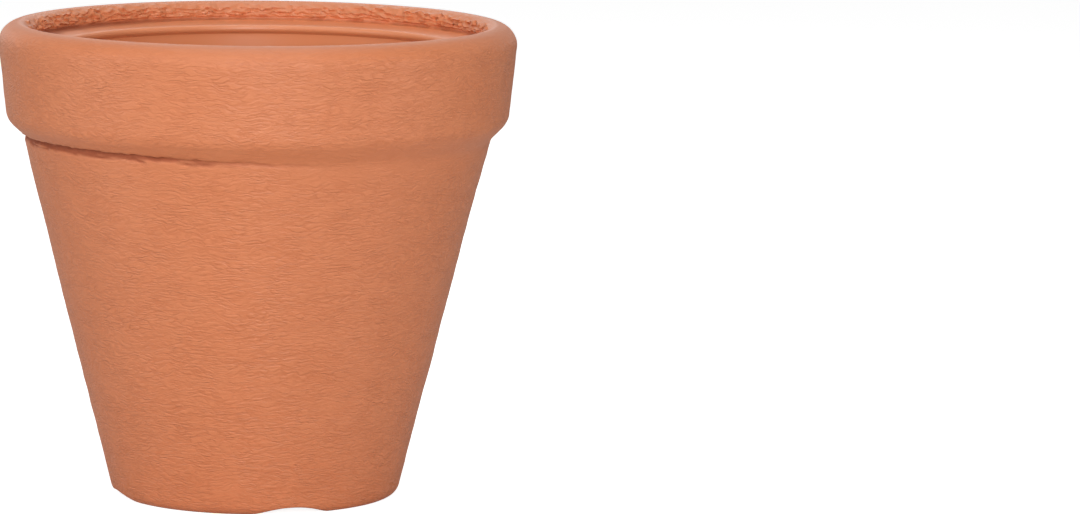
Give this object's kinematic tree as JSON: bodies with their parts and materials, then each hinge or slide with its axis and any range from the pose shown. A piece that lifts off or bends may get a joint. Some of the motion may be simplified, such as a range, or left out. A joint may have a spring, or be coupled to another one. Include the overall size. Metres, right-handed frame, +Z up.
{
  "type": "flower pot",
  "caption": "Tapering round flower pot with a deep band under a rolled-over lip, a finely wrinkled outer skin, and drain notches through the ring of its foot.",
  "frame": {"origin": "centre of the ground plane, on the pot's axis", "axes": "+Z up along the pot's axis, -Y towards the front, which one drain notch faces a little to the right of"},
  "size_m": [0.305, 0.305, 0.28],
  "materials": {
    "pot": "matt and finely wrinkled outside, smooth with a soft sheen inside"
  },
  "bodies": {
    "root": {"pot": "pot"}
  },
  "joints": []
}
